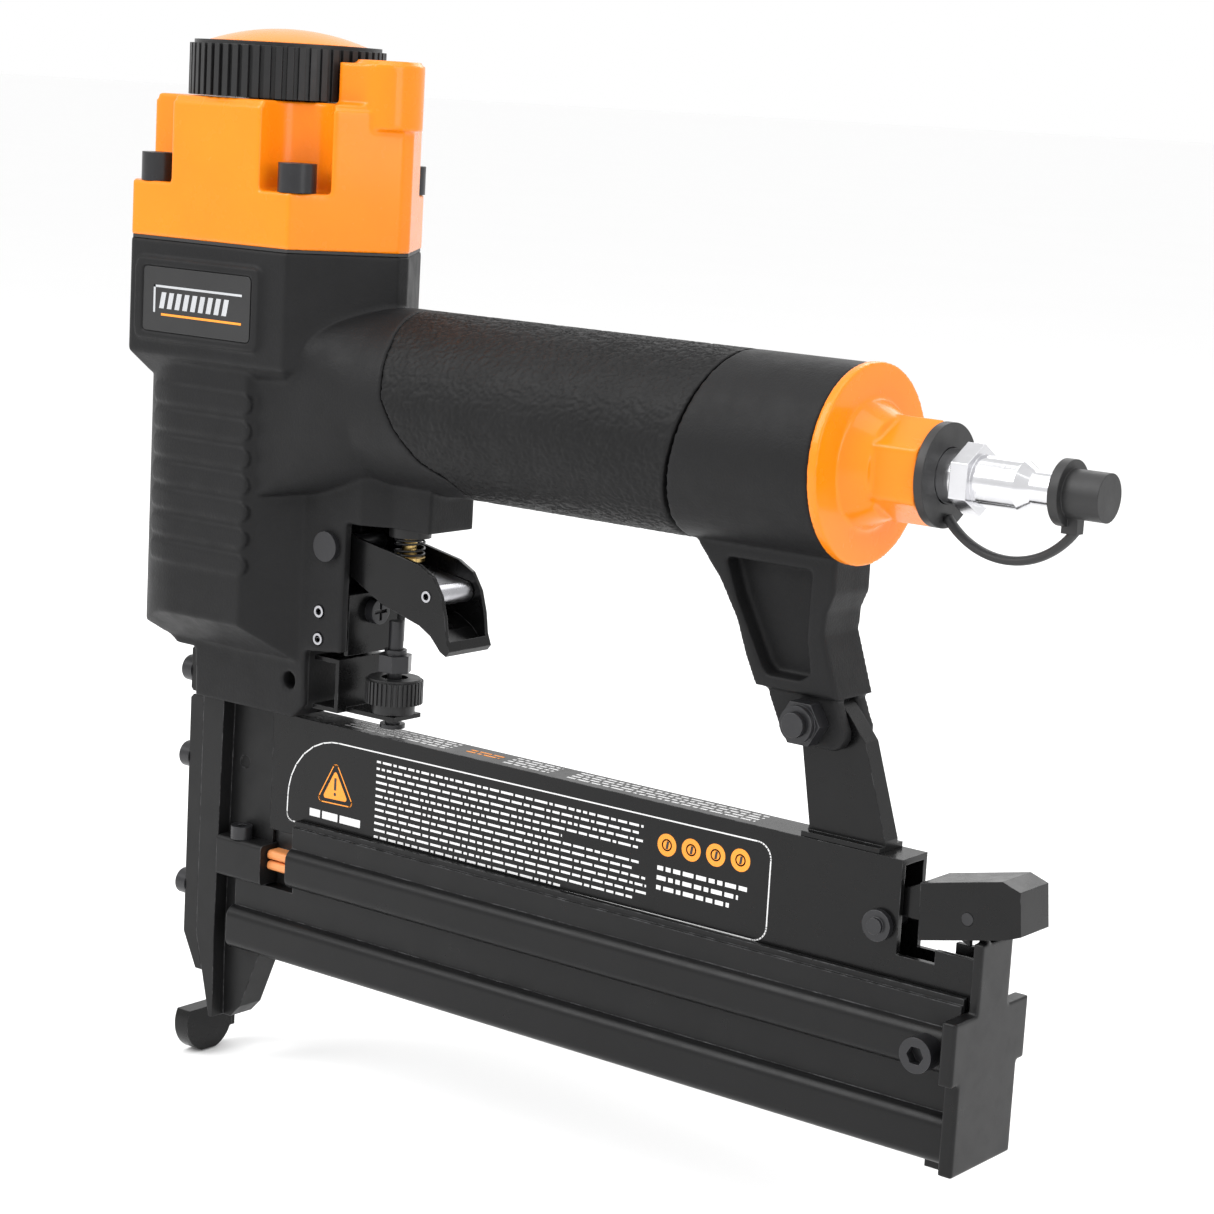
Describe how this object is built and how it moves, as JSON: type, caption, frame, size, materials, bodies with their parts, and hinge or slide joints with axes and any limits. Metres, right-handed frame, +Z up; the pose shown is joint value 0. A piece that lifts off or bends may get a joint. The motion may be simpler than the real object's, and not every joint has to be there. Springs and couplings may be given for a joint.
{
  "type": "pneumatic nail gun",
  "caption": "Pneumatic nail gun with orange cap, ribbed exhaust ring, rubber grip, trigger, contact safety, depth wheel, air plug and straight sliding magazine.",
  "frame": {"origin": "centre of the flat bottom face of the contact foot, where the tool meets the workpiece", "axes": "+Z up along the driver line, from the foot to the cap; +X back along the grip, from the nose to the air plug; +Y to the side of the safety arm"},
  "size_m": [0.2892, 0.055, 0.287],
  "materials": {
    "textured_black": "cast body in textured black powder coat",
    "badge_plate": "brushed plate with a plain orange field",
    "orange_paint": "die casting in gloss orange paint",
    "gasket": "thin sheet gasket",
    "black_screws": "black oxide socket screws",
    "ring_plastic": "ribbed moulded ring, satin",
    "seal_plastic": "turned acetal",
    "seal_rubber": "moulded rubber",
    "spring_steel": "wound spring wire",
    "sleeve_alloy": "turned and anodised",
    "tool_steel": "ground tool steel",
    "pin_steel": "rolled spring pins",
    "grip_rubber": "moulded grip with a wrinkled leather-like texture",
    "plug_chrome": "nickel-chrome plated steel",
    "soft_cap": "soft moulded cap, ring and strap",
    "valve_brass": "turned brass",
    "sheet_black": "pressed steel sheet in satin black",
    "nose_steel": "machined steel, black oxide",
    "wheel_plastic": "knurled moulded wheel",
    "slide_alloy": "extrusion in gloss black anodise",
    "end_casting": "cast end block in satin black",
    "pusher_copper": "copper-coloured coated steel"
  },
  "bodies": {
    "frame": {"housing": "textured_black", "badge_plate": "badge_plate", "head_cap": "orange_paint", "cap_gasket": "gasket", "cap_screws": "black_screws", "exhaust_screw": "black_screws", "head_valve_spring": "spring_steel", "cylinder_sleeve": "sleeve_alloy", "o_rings": "seal_rubber", "bumper": "seal_rubber", "grip_sleeve": "grip_rubber", "inlet_cap": "orange_paint", "air_plug": "plug_chrome", "dust_cap_ring": "soft_cap", "dust_cap_strap": "soft_cap", "valve_bushing": "ring_plastic", "valve_spring": "spring_steel", "trigger_pin": "black_screws", "cheek_pins": "pin_steel", "guide_plate": "sheet_black", "guide_screw": "black_screws", "safety_spring": "spring_steel", "nose_body": "nose_steel", "nose_screws": "black_screws", "front_door": "nose_steel", "door_screws": "black_screws", "upper_plate": "nose_steel", "nose_clamp": "nose_steel", "clamp_screws": "black_screws", "magazine_body": "sheet_black", "leg_bracket": "sheet_black", "leg_bolt": "black_screws", "leg_nut": "black_screws", "latch_pin": "pin_steel", "arm_screws": "black_screws"},
    "exhaust": {"exhaust_ring": "ring_plastic", "exhaust_dome": "orange_paint"},
    "head_valve": {"head_valve": "seal_plastic"},
    "driver": {"piston": "sleeve_alloy", "piston_ring": "seal_plastic", "driver_blade": "tool_steel"},
    "dust_cap": {"dust_cap": "soft_cap"},
    "trigger": {"trigger": "sheet_black", "trip_pin": "pin_steel"},
    "trip_lever": {"trip_lever": "tool_steel"},
    "valve_stem": {"valve_stem": "valve_brass"},
    "safety": {"safety_bracket": "sheet_black", "safety_arm": "sheet_black", "contact_foot": "sheet_black"},
    "depth_wheel": {"depth_wheel": "wheel_plastic"},
    "depth_rod": {"depth_rod": "tool_steel", "depth_nut": "tool_steel"},
    "magazine": {"magazine_slide": "slide_alloy", "end_cap": "end_casting", "end_cap_screw": "black_screws", "latch_axle": "pin_steel", "latch_spring": "spring_steel", "pusher_spring": "spring_steel"},
    "pusher": {"pusher": "pusher_copper"},
    "latch": {"latch": "sheet_black"}
  },
  "joints": [
    {"name": "exhaust_turn", "type": "hinge", "parent": "frame", "child": "exhaust", "pos_m": [0.0195, 0, 0.276], "axis": [0, 0, 1], "continuous": true},
    {"name": "head_valve_slide", "type": "slide", "parent": "frame", "child": "head_valve", "axis": [0, 0, 1], "range_m": [0, 0.004], "stiffness_N_per_m": 2000, "springref_m": -0.004, "deforming": ["head_valve_spring"]},
    {"name": "driver_stroke", "type": "slide", "parent": "frame", "child": "driver", "axis": [0, 0, -1], "range_m": [0, 0.074]},
    {"name": "dust_cap_pull", "type": "slide", "parent": "frame", "child": "dust_cap", "axis": [1, 0, 0], "range_m": [0, 0.022], "deforming": ["dust_cap_strap"]},
    {"name": "trigger_pull", "type": "hinge", "parent": "frame", "child": "trigger", "pos_m": [0.0528, 0, 0.1537], "axis": [0, -1, 0], "range_deg": [0, 8], "stiffness_Nm_per_rad": 0.6, "springref_deg": -8.59},
    {"name": "trip_lever_swing", "type": "hinge", "parent": "trigger", "child": "trip_lever", "pos_m": [0.0836, 0, 0.1443], "axis": [0, 1, 0], "range_deg": [0, 5]},
    {"name": "valve_stem_lift", "type": "slide", "parent": "frame", "child": "valve_stem", "axis": [0, 0, 1], "range_m": [0, 0.0025], "deforming": ["valve_spring"]},
    {"name": "safety_lift", "type": "slide", "parent": "frame", "child": "safety", "axis": [0, 0, 1], "range_m": [0, 0.009], "stiffness_N_per_m": 700, "springref_m": -0.006, "deforming": ["safety_spring"]},
    {"name": "depth_wheel_turn", "type": "hinge", "parent": "safety", "child": "depth_wheel", "pos_m": [0.0665, 0, 0.1144], "axis": [0, 0, 1], "range_deg": [-505, 505]},
    {"name": "depth_rod_travel", "type": "slide", "parent": "safety", "child": "depth_rod", "axis": [0, 0, 1], "range_m": [-0.0014, 0.0014]},
    {"name": "magazine_slide_out", "type": "slide", "parent": "frame", "child": "magazine", "axis": [1, 0, 0], "range_m": [0, 0.13]},
    {"name": "pusher_feed", "type": "slide", "parent": "frame", "child": "pusher", "axis": [1, 0, 0], "range_m": [0, 0.15], "stiffness_N_per_m": 60, "springref_m": -0.08, "deforming": ["pusher_spring"]},
    {"name": "latch_press", "type": "hinge", "parent": "magazine", "child": "latch", "pos_m": [0.2485, 0, 0.094], "axis": [0, 1, 0], "range_deg": [0, 8], "stiffness_Nm_per_rad": 0.6, "springref_deg": -5.73}
  ],
  "couplings": [
    {"joint": "valve_stem_lift", "follows": "trigger_pull", "m_per_rad": 0.0179},
    {"joint": "depth_wheel_turn", "follows": "depth_rod_travel", "rad_per_m": 6283.2}
  ]
}
